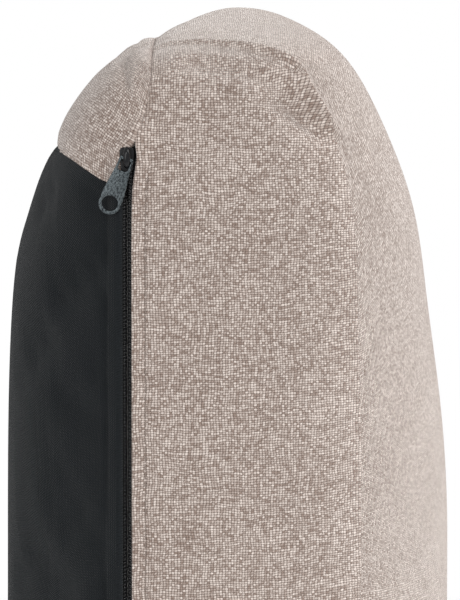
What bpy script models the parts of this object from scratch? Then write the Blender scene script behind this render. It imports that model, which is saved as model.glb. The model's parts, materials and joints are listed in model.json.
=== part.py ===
"""Lumbar support cushion: a foam block in a liner, inside a zipped two-colour fabric cover.

Frame: +Z up, origin under the middle of the cushion on the surface it stands on. X runs
along the width, the sitter leans on the -Y face and the chair's backrest meets the +Y face.
The zip runs down the -X end, on the seam between the front cover and the back pieces.
"""

import math

import bmesh
import bpy
from mathutils import Matrix, Vector

# Overall form, metres
WIDTH = 0.380
HEIGHT = 0.345
FRONT_DEPTH = 0.1045       # widest line to the front of the bulge
BACK_DEPTH = 0.0605        # widest line to the back of the crown
FULLEST_HEIGHT = 0.138     # height at which the bulge is deepest
TOP_LEAN = 0.018           # how far the top of the block leans forwards
BASE_TRIM = 0.012          # bulge cut off the underside to leave it flat

# Squareness of the form: 2 is an ellipse, larger is boxier
FRONT_SQUARENESS = 2.1
BACK_SQUARENESS = 4.0
END_SQUARENESS = 9.0
END_RISE = 4.8
FRONT_RISE = 2.05
BACK_RISE = 2.1
UNDERSIDE_RISE = 4.0

# Layers, metres
COVER_THICK = 0.0012
LINER_THICK = 0.0008
LINER_SLACK = 0.0008       # slack between the slider's inner plate and the liner
FOAM_SLACK = 0.0005        # slack between the liner and the foam
TOUCH_GAP = 0.0004         # gap kept between pieces that touch
COVER_TURNS, COVER_RINGS = 44, 22
INNER_TURNS, INNER_RINGS = 32, 16

# Cover seams, metres
SEAM_BEHIND_WIDEST = 0.0133
YOKE_BELOW_ZIP_TOP = 0.019  # yoke seam at the cushion's ends, below the zip's top
YOKE_SEAM_SLOPE = 0.57      # how steeply the yoke seam climbs towards the back

# Zip, metres
ZIP_TOP_INSET = 0.045
ZIP_BOTTOM_INSET = 0.045
TAPE_WIDTH = 0.0095
TAPE_THICK = 0.0005
TAPE_TAIL = 0.003           # tape past each end of the zip opening
END_MARGIN = 0.015          # flat end left behind the tape, at its deepest
CHAIN_WIDTH = 0.0042
COIL_THICK = 0.0011
COIL_PITCH = 0.00125
COIL_TOOTH = 0.0005
TOP_STOP_LENGTH = 0.0020
BOTTOM_STOP_LENGTH = 0.0030

# Slider and pull tab, metres
SLIDER_LENGTH = 0.0086
SLIDER_WIDTH = 0.0050
SLIDER_TAIL_WIDTH = 0.0044
SLIDER_PLATE = 0.0009
POST_WIDTH = 0.0008
POST_LENGTH = 0.0030
BRIDGE_WIDTH = 0.0012
BRIDGE_SPAN = 0.0032        # clear length under the bridge
BRIDGE_CLEAR = 0.0020       # clear height under the bridge
BRIDGE_THICK = 0.0007
TAB_LENGTH = 0.0204
TAB_WIDTH = 0.0078
TAB_NECK_WIDTH = 0.0050
TAB_THICK = 0.0009
TAB_HOLE_RADIUS = 0.0028
TAB_SLOT_LENGTH = 0.0038
TAB_SLOT_WIDTH = 0.0036
TAB_BAR = 0.0010            # bar under the bridge, along the tab
TAB_TILT = math.radians(21)  # hangs askew on its loose bar

BEIGE = (0.42, 0.35, 0.30, 1)
BLACK = (0.022, 0.025, 0.028, 1)
FOAM = (0.86, 0.82, 0.70, 1)
LINER = (0.78, 0.78, 0.76, 1)
METAL = (0.11, 0.115, 0.12, 1)

# Places that follow from the sizes above
WIDEST_Y = (FRONT_DEPTH - BACK_DEPTH) / 2
SEAM_Y = WIDEST_Y + SEAM_BEHIND_WIDEST
END_X = -WIDTH / 2
ZIP_TOP = HEIGHT - ZIP_TOP_INSET
ZIP_BOTTOM = ZIP_BOTTOM_INSET
YOKE_Z = ZIP_TOP - YOKE_BELOW_ZIP_TOP
TAPE_DEPTH = COVER_THICK + TOUCH_GAP
INNER_PLATE_DEPTH = TAPE_DEPTH + TAPE_THICK + TOUCH_GAP
LINER_DEPTH = INNER_PLATE_DEPTH + SLIDER_PLATE + LINER_SLACK
FOAM_DEPTH = LINER_DEPTH + LINER_THICK + FOAM_SLACK
POST_SLOT = POST_WIDTH / 2 + TOUCH_GAP
END_FLAT = SEAM_BEHIND_WIDEST + POST_SLOT + TAPE_WIDTH + END_MARGIN
END_SHARE = (1 - (END_FLAT / BACK_DEPTH) ** BACK_SQUARENESS) ** (1 / BACK_SQUARENESS)
END_REACH = WIDTH / 2 / END_SHARE   # where the form would close if its end weren't cut flat
STOP_TOP = ZIP_TOP - TOUCH_GAP
STOP_BOTTOM = ZIP_BOTTOM + TOUCH_GAP
COIL_TOP = STOP_TOP - TOP_STOP_LENGTH - TOUCH_GAP
COIL_BOTTOM = STOP_BOTTOM + BOTTOM_STOP_LENGTH + TOUCH_GAP
SLIDER_Z = COIL_TOP - SLIDER_LENGTH / 2
TAB_AXIS_OUT = TOUCH_GAP + SLIDER_PLATE + BRIDGE_CLEAR / 2


def new_collection(name):
    collection = bpy.data.collections.new(name)
    bpy.context.scene.collection.children.link(collection)
    return collection


def new_material(name, colour, roughness, metallic=0.0):
    material = bpy.data.materials.new(name)
    material.use_nodes = True
    shader = material.node_tree.nodes["Principled BSDF"]
    shader.inputs["Base Color"].default_value = colour
    shader.inputs["Roughness"].default_value = roughness
    shader.inputs["Metallic"].default_value = metallic
    material.diffuse_color = colour
    return material


def new_object(name, mesh, collection, material=None):
    piece = bpy.data.objects.new(name, mesh)
    collection.objects.link(piece)
    if material:
        mesh.materials.append(material)
    return piece


def mesh_from(bm, name):
    mesh = bpy.data.meshes.new(name)
    bm.to_mesh(mesh)
    bm.free()
    return mesh


# ---------------------------------------------------------------- the cushion's form

def signed_power(value, exponent):
    return math.copysign(abs(value) ** exponent, value)


def form_point(direction, depth):
    """The point of the cushion's form in a direction, at a depth below its outer face.

    Each upright slice across the width is a superellipse. Towards the ends the slices
    grow shallower and squarer, and keep most of their height.
    """
    along = direction.x
    around = math.atan2(direction.z, direction.y)
    behind = direction.y >= 0
    squareness = BACK_SQUARENESS if behind else FRONT_SQUARENESS
    shallower = (1 - abs(along) ** squareness) ** (1 / squareness)
    shorter = (1 - abs(along) ** END_SQUARENESS) ** (1 / END_SQUARENESS)
    rise = BACK_RISE if behind else FRONT_RISE
    if direction.z < 0:
        rise = UNDERSIDE_RISE
    rise += (END_RISE - rise) * along ** 2

    across = shallower * signed_power(math.cos(around), 2 / rise)
    level = shorter * signed_power(math.sin(around), 2 / rise)
    x = (END_REACH - depth) * along
    y = WIDEST_Y + ((BACK_DEPTH if behind else FRONT_DEPTH) - depth) * across
    y -= TOP_LEAN * max(0.0, level) ** 5
    above = HEIGHT - FULLEST_HEIGHT - depth
    below = FULLEST_HEIGHT + BASE_TRIM - depth
    z = FULLEST_HEIGHT + level * (above if level > 0 else below)
    return Vector((x, y, z))


def keep_side(bm, point, normal):
    """Cut the surface at a plane and keep the side that the normal points to."""
    bmesh.ops.bisect_plane(
        bm,
        geom=bm.verts[:] + bm.edges[:] + bm.faces[:],
        dist=1e-6,
        plane_co=point,
        plane_no=normal,
        clear_inner=True,
    )


def trim_flat(bm, point, normal):
    """Cut a closed surface at a plane, on the side of its normal, and close it flat."""
    keep_side(bm, point, -normal)
    rim = [edge for edge in bm.edges if edge.is_boundary]
    bmesh.ops.holes_fill(bm, edges=rim, sides=0)


def form_mesh(turns, rings, depth):
    """A closed surface of the form: a sphere moved onto it, then trimmed at ends and base."""
    bm = bmesh.new()
    lying = Matrix.Rotation(math.pi / 2, 4, "Y")
    bmesh.ops.create_uvsphere(bm, u_segments=turns, v_segments=rings, radius=1, matrix=lying)
    for vert in bm.verts:
        vert.co = form_point(vert.co.normalized(), depth)
    end = Vector((WIDTH / 2 - depth, 0, 0))
    trim_flat(bm, end, Vector((1, 0, 0)))
    trim_flat(bm, -end, Vector((-1, 0, 0)))
    trim_flat(bm, Vector((0, 0, depth)), Vector((0, 0, -1)))
    bmesh.ops.recalc_face_normals(bm, faces=bm.faces[:])
    return bm


def keep_beside_yoke_seam(bm, side):
    """Keep the part above (side 1) or below (side -1) the sloping yoke seam."""
    upward = Vector((0, -YOKE_SEAM_SLOPE, 1)).normalized()
    edge = Vector((0, SEAM_Y, YOKE_Z)) + upward * side * TOUCH_GAP / 2
    keep_side(bm, edge, upward * side)


def thicken(piece, thickness):
    """Give an open surface its cloth thickness, inwards from the outer face."""
    solid = piece.modifiers.new("cloth", "SOLIDIFY")
    solid.thickness = thickness
    solid.offset = -1
    solid.use_even_offset = True


def cut(piece, cutter):
    boolean = piece.modifiers.new("cut " + cutter.name, "BOOLEAN")
    boolean.operation = "DIFFERENCE"
    boolean.solver = "EXACT"
    boolean.object = cutter


def smooth(piece, degrees=40):
    piece.data.shade_smooth()
    piece.data.set_sharp_from_angle(angle=math.radians(degrees))


def make_cutter(name, low, high, collection):
    """A box cutter between two corners."""
    bm = bmesh.new()
    bmesh.ops.create_cube(bm, size=1)
    size = Vector(high) - Vector(low)
    bmesh.ops.scale(bm, vec=size, verts=bm.verts[:])
    bmesh.ops.translate(bm, vec=(Vector(high) + Vector(low)) / 2, verts=bm.verts[:])
    cutter = new_object(name, mesh_from(bm, name), collection)
    cutter.hide_render = True
    cutter.display_type = "WIRE"
    return cutter


def make_cover(parts, cutters, beige, black):
    """The front cover, the back's beige yoke and its black panel, with the zip opening."""
    opening_half = CHAIN_WIDTH / 2 + TOUCH_GAP
    opening = make_cutter(
        "zip_opening",
        (END_X - 0.02, SEAM_Y - opening_half, ZIP_BOTTOM),
        (END_X + 0.02, SEAM_Y + opening_half, ZIP_TOP),
        cutters,
    )
    ahead = (Vector((0, SEAM_Y - TOUCH_GAP / 2, 0)), Vector((0, -1, 0)))
    behind = (Vector((0, SEAM_Y + TOUCH_GAP / 2, 0)), Vector((0, 1, 0)))
    panels = (
        ("front_cover", ahead, 0, beige),
        ("back_yoke", behind, 1, beige),
        ("back_panel", behind, -1, black),
    )
    for name, (point, normal), yoke_side, material in panels:
        bm = form_mesh(COVER_TURNS, COVER_RINGS, 0)
        keep_side(bm, point, normal)
        if yoke_side:
            keep_beside_yoke_seam(bm, yoke_side)
        panel = new_object(name, mesh_from(bm, name), parts, material)
        thicken(panel, COVER_THICK)
        cut(panel, opening)
        smooth(panel)


def make_filling(parts, cutters, liner_cloth, foam):
    """The knitted liner, with the slit that the foam goes in by, and the foam block."""
    slit_half = TOUCH_GAP * 2
    slit = make_cutter(
        "liner_slit",
        (END_X - 0.02, SEAM_Y - slit_half, COIL_BOTTOM),
        (END_X + 0.02, SEAM_Y + slit_half, COIL_TOP - SLIDER_LENGTH),
        cutters,
    )
    liner_mesh = mesh_from(form_mesh(INNER_TURNS, INNER_RINGS, LINER_DEPTH), "inner_liner")
    liner = new_object("inner_liner", liner_mesh, parts, liner_cloth)
    thicken(liner, LINER_THICK)
    cut(liner, slit)
    smooth(liner)

    foam_mesh = mesh_from(form_mesh(INNER_TURNS, INNER_RINGS, FOAM_DEPTH), "foam_core")
    core = new_object("foam_core", foam_mesh, parts, foam)
    smooth(core)


# ---------------------------------------------------------------- the zip

# Zip pieces are drawn flat: u across the zip towards the back, v up, w out of the end face.
ZIP_PLANE = Matrix(((0, 0, -1, END_X), (1, 0, 0, SEAM_Y), (0, 1, 0, 0), (0, 0, 0, 1)))


def flat_piece(name, outlines, low, high, collection, material=None):
    """A flat outline, with any holes after it, filled and made solid between two heights."""
    curve = bpy.data.curves.new(name, "CURVE")
    curve.dimensions = "2D"
    curve.fill_mode = "BOTH"
    curve.extrude = (high - low) / 2
    for outline in outlines:
        spline = curve.splines.new("POLY")
        spline.points.add(len(outline) - 1)
        for point, (u, v) in zip(spline.points, outline):
            point.co = (u, v, 0, 1)
        spline.use_cyclic_u = True
    drawn = bpy.data.objects.new(name + "_outline", curve)
    collection.objects.link(drawn)
    evaluated = drawn.evaluated_get(bpy.context.evaluated_depsgraph_get())
    mesh = bpy.data.meshes.new_from_object(evaluated)
    bpy.data.objects.remove(drawn)
    bpy.data.curves.remove(curve)

    bm = bmesh.new()
    bm.from_mesh(mesh)
    bpy.data.meshes.remove(mesh)
    bmesh.ops.remove_doubles(bm, verts=bm.verts[:], dist=1e-6)
    bmesh.ops.translate(bm, vec=(0, 0, (high + low) / 2), verts=bm.verts[:])
    bmesh.ops.recalc_face_normals(bm, faces=bm.faces[:])
    return new_object(name, mesh_from(bm, name), collection, material)


def rectangle(u_low, u_high, v_low, v_high):
    return [(u_low, v_low), (u_high, v_low), (u_high, v_high), (u_low, v_high)]


def place_on_zip(piece):
    piece.matrix_world = ZIP_PLANE


def comb_outline(side):
    """One half of the chain: a straight outer edge and a toothed inner edge."""
    outer = side * CHAIN_WIDTH / 2
    crest = side * POST_SLOT
    root = side * (POST_SLOT + COIL_TOOTH)
    teeth = int((COIL_TOP - COIL_BOTTOM) / COIL_PITCH)
    points = [(outer, COIL_BOTTOM), (root, COIL_BOTTOM)]
    for tooth in range(teeth):
        foot = COIL_BOTTOM + tooth * COIL_PITCH
        points.append((crest, foot + COIL_PITCH / 2))
        points.append((root, foot + COIL_PITCH))
    points.append((outer, points[-1][1]))
    rungs = 24
    top = points[-1][1]
    for rung in range(1, rungs):
        points.append((outer, top + (COIL_BOTTOM - top) * rung / rungs))
    return points if side < 0 else points[::-1]


def make_zip(parts, tape_cloth, coil_plastic, metal):
    """Two tapes, the two halves of the coil, the stops at the top and the one at the bottom."""
    coil_low = -TAPE_DEPTH + TOUCH_GAP
    coil_high = coil_low + COIL_THICK
    for name, side in (("side", -1), ("back", 1)):
        edges = sorted((side * POST_SLOT, side * (POST_SLOT + TAPE_WIDTH)))
        outline = rectangle(*edges, ZIP_BOTTOM - TAPE_TAIL, ZIP_TOP + TAPE_TAIL)
        tape = flat_piece(
            "zipper_tape_" + name, [outline], -TAPE_DEPTH - TAPE_THICK, -TAPE_DEPTH,
            parts, tape_cloth,
        )
        place_on_zip(tape)

        comb = [comb_outline(side)]
        coil = flat_piece("zipper_coil_" + name, comb, coil_low, coil_high, parts, coil_plastic)
        place_on_zip(coil)

        edges = sorted((side * POST_SLOT, side * CHAIN_WIDTH / 2))
        outline = rectangle(*edges, STOP_TOP - TOP_STOP_LENGTH, STOP_TOP)
        stop = flat_piece("top_stop_" + name, [outline], coil_low, coil_high, parts, metal)
        place_on_zip(stop)

    outline = rectangle(
        -CHAIN_WIDTH / 2, CHAIN_WIDTH / 2, STOP_BOTTOM, STOP_BOTTOM + BOTTOM_STOP_LENGTH
    )
    stop = flat_piece("bottom_stop", [outline], coil_low, coil_high, parts, metal)
    place_on_zip(stop)


def arc(centre, radius, start, end, steps):
    """Points along an arc, angles in degrees, both ends included."""
    points = []
    for step in range(steps + 1):
        angle = math.radians(start + (end - start) * step / steps)
        points.append((centre[0] + radius * math.cos(angle), centre[1] + radius * math.sin(angle)))
    return points


def plate_outline():
    """The slider seen from outside: round shoulders at the top, a narrower tail."""
    half, tail, length = SLIDER_WIDTH / 2, SLIDER_TAIL_WIDTH / 2, SLIDER_LENGTH / 2
    radius = SLIDER_WIDTH * 0.3
    tail_radius = SLIDER_TAIL_WIDTH * 0.16
    points = arc((half - radius, length - radius), radius, 0, 90, 5)
    points += arc((radius - half, length - radius), radius, 90, 180, 5)
    points += arc((tail_radius - tail, tail_radius - length), tail_radius, 180, 270, 3)
    points += arc((tail - tail_radius, tail_radius - length), tail_radius, 270, 360, 3)
    return points


def bridge_outline():
    """The arched bridge seen from its side: v along the slider, w out of the end face."""
    foot = TOUCH_GAP + SLIDER_PLATE / 2
    ceiling = TOUCH_GAP + SLIDER_PLATE + BRIDGE_CLEAR
    inner = BRIDGE_SPAN / 2
    outer = inner + BRIDGE_THICK
    radius = BRIDGE_THICK * 1.2
    inner_radius = BRIDGE_THICK * 0.5
    top = ceiling + BRIDGE_THICK
    points = [(-outer, foot)]
    points += arc((radius - outer, top - radius), radius, 180, 90, 4)
    points += arc((outer - radius, top - radius), radius, 90, 0, 4)
    points += [(outer, foot), (inner, foot)]
    points += arc((inner - inner_radius, ceiling - inner_radius), inner_radius, 0, 90, 3)
    points += arc((inner_radius - inner, ceiling - inner_radius), inner_radius, 90, 180, 3)
    points += [(-inner, foot)]
    return points[::-1]


def join(piece, addition):
    """Make a hidden helper part of a piece with a Boolean union."""
    addition.hide_render = True
    addition.display_type = "WIRE"
    boolean = piece.modifiers.new("join " + addition.name, "BOOLEAN")
    boolean.operation = "UNION"
    boolean.solver = "EXACT"
    boolean.object = addition


def make_slider(parts, helpers, metal):
    """The cast slider: two plates, the post between them and the bridge for the pull tab."""
    at_rest = ZIP_PLANE @ Matrix.Translation((0, SLIDER_Z, 0))
    outer_low, outer_high = TOUCH_GAP, TOUCH_GAP + SLIDER_PLATE
    body = flat_piece("slider_body", [plate_outline()], outer_low, outer_high, parts, metal)
    body.matrix_world = at_rest

    inner_high = -INNER_PLATE_DEPTH
    inner = flat_piece(
        "slider_inner_plate", [plate_outline()], inner_high - SLIDER_PLATE, inner_high, helpers
    )
    inner.matrix_world = at_rest

    overlap = SLIDER_PLATE / 2
    post_top = SLIDER_LENGTH / 2 - SLIDER_PLATE
    post_outline = rectangle(-POST_WIDTH / 2, POST_WIDTH / 2, post_top - POST_LENGTH, post_top)
    post = flat_piece(
        "slider_post", [post_outline], inner_high - overlap, outer_low + overlap, helpers
    )
    post.matrix_world = at_rest

    bridge = flat_piece(
        "slider_bridge", [bridge_outline()], -BRIDGE_WIDTH / 2, BRIDGE_WIDTH / 2, helpers
    )
    stand_up = Matrix(((0, 0, 1, 0), (1, 0, 0, 0), (0, 1, 0, 0), (0, 0, 0, 1)))
    bridge.matrix_world = at_rest @ stand_up

    for addition in (post, inner, bridge):
        join(body, addition)
    smooth(body, 30)


def tab_outline():
    """The pull tab seen flat, its bar at the origin and its ring end towards -v."""
    neck, ring = TAB_NECK_WIDTH / 2, TAB_WIDTH / 2
    top = TAB_BAR / 2
    corner = TAB_BAR * 0.6
    ring_v = top - TAB_LENGTH + ring
    points = arc((neck - corner, top - corner), corner, 0, 90, 3)
    points += arc((corner - neck, top - corner), corner, 90, 180, 3)
    points += arc((0, ring_v), ring, 172, 368, 18)
    return points


def make_pull_tab(parts, metal):
    """The stamped pull tab: a slotted neck round the bridge and a ring for the finger."""
    ring_v = TAB_BAR / 2 - TAB_LENGTH + TAB_WIDTH / 2
    hole = arc((0, ring_v), TAB_HOLE_RADIUS, 360, 15, 23)
    slot_half = TAB_SLOT_WIDTH / 2
    slot = rectangle(-slot_half, slot_half, -TAB_BAR / 2 - TAB_SLOT_LENGTH, -TAB_BAR / 2)[::-1]
    tab = flat_piece(
        "pull_tab", [tab_outline(), hole, slot], -TAB_THICK / 2, TAB_THICK / 2, parts, metal
    )
    hang = Matrix.Rotation(TAB_TILT, 4, "Z")
    pivot = Matrix.Translation((0, SLIDER_Z, TAB_AXIS_OUT))
    tab.matrix_world = ZIP_PLANE @ pivot @ hang
    smooth(tab, 30)


def main():
    for item in list(bpy.data.objects):
        bpy.data.objects.remove(item, do_unlink=True)
    parts = new_collection("lumbar_support_cushion")
    helpers = new_collection("cutters")

    beige = new_material("beige_linen_weave", BEIGE, 0.9)
    black = new_material("black_knit", BLACK, 0.9)
    foam = new_material("foam", FOAM, 0.95)
    liner_cloth = new_material("liner_knit", LINER, 0.95)
    tape_cloth = new_material("zip_tape", BLACK, 0.85)
    coil_plastic = new_material("zip_coil", BLACK, 0.35)
    metal = new_material("dark_metal", METAL, 0.32, 1.0)

    make_cover(parts, helpers, beige, black)
    make_filling(parts, helpers, liner_cloth, foam)
    make_zip(parts, tape_cloth, coil_plastic, metal)
    make_slider(parts, helpers, metal)
    make_pull_tab(parts, metal)


main()
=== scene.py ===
"""The looks of the lumbar support cushion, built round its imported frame.

The cushion is a foam block in a zipped cover: a beige linen-look front that wraps round the
ends, top and underside, a beige yoke across the top of the back and a black ribbed back
panel. The zip runs down the -X end. Lengths are in metres.
"""

import json
import math

import bmesh
import bpy
import numpy as np
from mathutils import Matrix, Vector


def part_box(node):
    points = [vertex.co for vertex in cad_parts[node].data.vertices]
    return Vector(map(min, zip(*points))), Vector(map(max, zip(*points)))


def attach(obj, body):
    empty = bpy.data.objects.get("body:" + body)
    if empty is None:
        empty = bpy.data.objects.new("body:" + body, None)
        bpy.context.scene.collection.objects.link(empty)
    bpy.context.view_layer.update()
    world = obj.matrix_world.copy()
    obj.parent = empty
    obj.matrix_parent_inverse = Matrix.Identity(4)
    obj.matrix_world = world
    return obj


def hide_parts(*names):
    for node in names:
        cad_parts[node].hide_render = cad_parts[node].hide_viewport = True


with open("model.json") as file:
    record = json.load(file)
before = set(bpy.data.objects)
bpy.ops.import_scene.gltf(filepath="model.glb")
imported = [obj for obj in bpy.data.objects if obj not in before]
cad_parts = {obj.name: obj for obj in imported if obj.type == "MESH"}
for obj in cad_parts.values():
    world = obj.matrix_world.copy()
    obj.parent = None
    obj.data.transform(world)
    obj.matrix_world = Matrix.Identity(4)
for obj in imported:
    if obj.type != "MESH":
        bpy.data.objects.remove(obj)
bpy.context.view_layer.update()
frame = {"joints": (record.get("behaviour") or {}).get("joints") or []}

# ------------------------------------------------------------------ places read from the frame

MM = 0.001
front_low, front_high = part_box("front_cover")
back_low, back_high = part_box("back_panel")
yoke_low, yoke_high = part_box("back_yoke")
tape_low, tape_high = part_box("zipper_tape_side")
stop_low, stop_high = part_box("top_stop_side")
bottom_low, bottom_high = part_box("bottom_stop")
slider_low, slider_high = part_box("slider_body")
joints = {joint["name"]: joint for joint in frame["joints"]}
flip = joints["pull_tab_flip"]

HALF_WIDTH = front_high.x
HEIGHT = front_high.z + 0.8 * MM
SEAM_Y = (front_high.y + back_low.y) / 2
ZIP_TOP = stop_high.z + 0.3 * MM
ZIP_BOTTOM = bottom_low.z - 0.3 * MM
SLIDER_Z = (slider_low.z + slider_high.z) / 2
SEWN_GAP = 0.2 * MM
YOKE_Z = ZIP_TOP - 19 * MM
YOKE_SLOPE = 0.57

# ------------------------------------------------------------------ the cushion's form

FULLEST_Z = 0.140          # height at which the bulge is deepest
WIDEST_Y = 0.0181          # depth at which the cushion is widest
FRONT_DEPTH = 0.1025
BACK_DEPTH = 0.0622
OPEN_HALF_WIDTH = HALF_WIDTH + 3 * MM   # where the ends would close if they weren't flattened
FRONT_SQUARENESS, BACK_SQUARENESS = 2.24, 4.0
FRONT_RISE, BACK_RISE, END_RISE, UNDERSIDE_RISE = 2.05, 2.12, 4.5, 4.4
TOP_LEAN, LEAN_POWER = 0.0209, 5.84
CROWN = 0.0182             # how much lower the top is at the ends than in the middle
BASE_TRIM = 0.012          # bulge that the flat underside cuts off
SHOULDER, SHOULDER_Z, SHOULDER_SPREAD = 0.045, 0.276, 0.034   # extra fullness high on the front
EDGE_POWER = 15.0          # larger makes the edges round the ends tighter
MIDDLE = np.array((0.0, 0.03, 0.17))


def form_level(points, depth=0.0):
    """Below 1 inside the form that lies a depth under the cover's outer face, above 1 outside."""
    x, y, z = np.abs(points[..., 0]), points[..., 1], points[..., 2]
    along = np.minimum(x / (OPEN_HALF_WIDTH - depth), 0.9999999)
    level = (z - FULLEST_Z) / (HEIGHT - FULLEST_Z)
    middle_y = WIDEST_Y - TOP_LEAN * np.maximum(0, level) ** LEAN_POWER
    behind = y > middle_y
    squareness = np.where(behind, BACK_SQUARENESS, FRONT_SQUARENESS)
    shallower = (1 - along ** squareness) ** (1 / squareness)
    fuller = 1 + SHOULDER * np.exp(-((z - SHOULDER_Z) / SHOULDER_SPREAD) ** 2)
    reach_y = (np.where(behind, BACK_DEPTH, FRONT_DEPTH * fuller) - depth) * shallower + 1e-9
    above = HEIGHT - FULLEST_Z - depth - CROWN * (x / HALF_WIDTH) ** 2
    reach_z = np.where(z > FULLEST_Z, above, FULLEST_Z + BASE_TRIM - depth)
    rise = np.where(behind, BACK_RISE, FRONT_RISE)
    rise = np.where(z < FULLEST_Z, UNDERSIDE_RISE, rise)
    rise = rise + (END_RISE - rise) * along ** 2
    slice_level = (np.abs(y - middle_y) / reach_y) ** rise
    slice_level += (np.abs(z - FULLEST_Z) / reach_z) ** rise
    slice_level = slice_level ** (1 / rise)
    end_level = x / (HALF_WIDTH - depth)
    return (slice_level ** EDGE_POWER + end_level ** EDGE_POWER) ** (1 / EDGE_POWER)


def reach(origins, directions, depth=0.0):
    """Where rays from inside the form meet its surface, flattened at the base."""
    near = np.zeros(directions.shape[:-1])
    far = np.full(directions.shape[:-1], 0.4)
    for _ in range(30):
        middle = (near + far) / 2
        inside = form_level(origins + directions * middle[..., None], depth) < 1
        near = np.where(inside, middle, near)
        far = np.where(inside, far, middle)
    points = origins + directions * near[..., None]
    below = points[..., 2] < depth
    drop = points[..., 2] - origins[..., 2] - 1e-12
    to_base = np.where(below, (depth - origins[..., 2]) / drop, 1.0)
    return origins + (points - origins) * to_base[..., None]


def normals_at(points, depth=0.0):
    """The form's outward normals, and straight down on its flat base."""
    step = 0.2 * MM
    slopes = []
    for axis in range(3):
        shift = np.zeros(3)
        shift[axis] = step
        slopes.append(form_level(points + shift, depth) - form_level(points - shift, depth))
    normals = np.stack(slopes, -1)
    normals /= np.linalg.norm(normals, axis=-1, keepdims=True)
    down = np.clip(1 - (points[..., 2] - depth) / (4 * MM), 0, 1)[..., None]
    normals = normals * (1 - down) + np.array((0, 0, -1)) * down
    return normals / np.linalg.norm(normals, axis=-1, keepdims=True)


def unit(vectors):
    return vectors / np.linalg.norm(vectors, axis=-1, keepdims=True)


def ease(low, high, values):
    """0 below low, 1 above high, smooth between."""
    share = np.clip((values - low) / (high - low), 0, 1)
    return share * share * (3 - 2 * share)


# ------------------------------------------------------------------ seams

def seam_line_y(z):
    """The back seam's depth: upright along the zip, leaning forward above it."""
    return SEAM_Y - 7.5 * MM / (1 + np.exp(-(z - 303 * MM) / (7 * MM)))


def zip_share(x, z):
    """1 beside the zip's opening, fading to 0 where the seam is sewn shut."""
    top = ease(ZIP_TOP + 0.5 * MM, ZIP_TOP - 7 * MM, z)
    bottom = ease(ZIP_BOTTOM, ZIP_BOTTOM + 5 * MM, z)
    return np.where(x < -0.16, top * bottom, 0.0)


def lip_share(x, z):
    """1 where the cloth is raised over the zip: a little further up than the opening."""
    top = ease(ZIP_TOP + 9 * MM, ZIP_TOP + 1 * MM, z)
    bottom = ease(ZIP_BOTTOM - 3 * MM, ZIP_BOTTOM + 4 * MM, z)
    return np.where(x < -0.16, top * bottom, 0.0)


def zip_gap(x, z, side):
    """How far the cover's edge stands off the seam: 0.2 mm where sewn, wider beside the zip."""
    wide = 2.5 * MM if side > 0 else 1.5 * MM
    wide = wide + (side > 0) * 0.9 * MM * np.exp(-((z - SLIDER_Z - 1 * MM) / (5 * MM)) ** 2)
    pushed = 0.5 * MM * np.exp(-((z - SLIDER_Z) / (6.5 * MM)) ** 2) if side < 0 else 0.0
    return SEWN_GAP + (wide + pushed - SEWN_GAP) * zip_share(x, z)


def seam_ring(angles, side):
    """Points on one edge of the back seam, at angles round the middle of the XZ plane."""
    near, far = np.zeros(angles.shape), np.full(angles.shape, 0.4)

    def at(distance):
        x = np.cos(angles) * distance
        z = MIDDLE[2] + np.sin(angles) * distance
        y = seam_line_y(z) + side * zip_gap(x, z, side)
        return np.stack((x, y, z), -1)

    for _ in range(30):
        middle = (near + far) / 2
        point = at(middle)
        inside = (form_level(point) < 1) & (point[..., 2] > 0)
        near = np.where(inside, middle, near)
        far = np.where(inside, far, middle)
    return at(near)


def arc_lengths(points):
    steps = np.linalg.norm(np.diff(points, axis=0), axis=-1)
    return np.concatenate(([0.0], np.cumsum(steps)))


def resample(points, shares):
    """Points at shares of a polyline's length."""
    lengths = arc_lengths(points)
    lengths = lengths / lengths[-1]
    return np.stack([np.interp(shares, lengths, points[:, axis]) for axis in range(3)], -1)


def even_angles(count):
    """Angles round the seam, closer together at the zip's top and at the dart beside it."""
    dense = np.linspace(0, 2 * math.pi, 6001)
    ring = seam_ring(dense, -1)
    steps = np.linalg.norm(np.diff(ring, axis=0), axis=-1)
    middle = (ring[1:] + ring[:-1]) / 2
    at_zip_end = (middle[:, 0] < -0.15) * np.exp(-((middle[:, 2] - 0.300) / 0.020) ** 2)
    at_corner = (middle[:, 0] < -0.12) * np.exp(-((middle[:, 2] - 0.325) / 0.020) ** 2)
    weights = steps * (1 + 3.0 * at_zip_end + 1.0 * at_corner)
    total = np.concatenate(([0.0], np.cumsum(weights)))
    return np.interp(np.linspace(0, total[-1], count, endpoint=False), total, dense)


# Distances from a seam at which the cloth has a row of points: close together at the roll
NEAR_ROWS = np.array((0, 0.3, 0.7, 1.2, 1.8, 2.6, 3.6, 4.8, 6.2, 8.0, 10.0, 12.5)) * MM

# The same, and on to where the folds on the ends run out
FOLD_ROWS = np.concatenate((NEAR_ROWS, np.arange(14, 96, 1.6) * MM))


def front_grid(columns, rows, near=FOLD_ROWS):
    """Points of the front cover, from the back seam (row 0) to the middle of its front."""
    angles = even_angles(columns)
    edge = seam_ring(angles, -1)
    origin = np.array((0.0, 0.055, MIDDLE[2]))
    start = unit(edge - origin)
    pole = np.array((0.0, -1.0, 0.0))
    turn = np.arccos(np.clip(start @ pole, -1, 1))[:, None]
    share = np.linspace(0, 1, 360)[None, :]
    weight_start = np.sin((1 - share) * turn) / np.sin(turn)
    weight_pole = np.sin(share * turn) / np.sin(turn)
    directions = weight_start[..., None] * start[:, None, :] + weight_pole[..., None] * pole
    dense = reach(np.broadcast_to(origin, directions.shape), unit(directions))
    dense[:, 0] = edge
    grid = np.zeros((columns, rows, 3))
    for column in range(columns):
        length = arc_lengths(dense[column])[-1]
        rest = np.linspace(near[-1], length, rows - len(near) + 1)[1:]
        grid[column] = resample(dense[column], np.concatenate((near, rest)) / length)
    return grid


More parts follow.
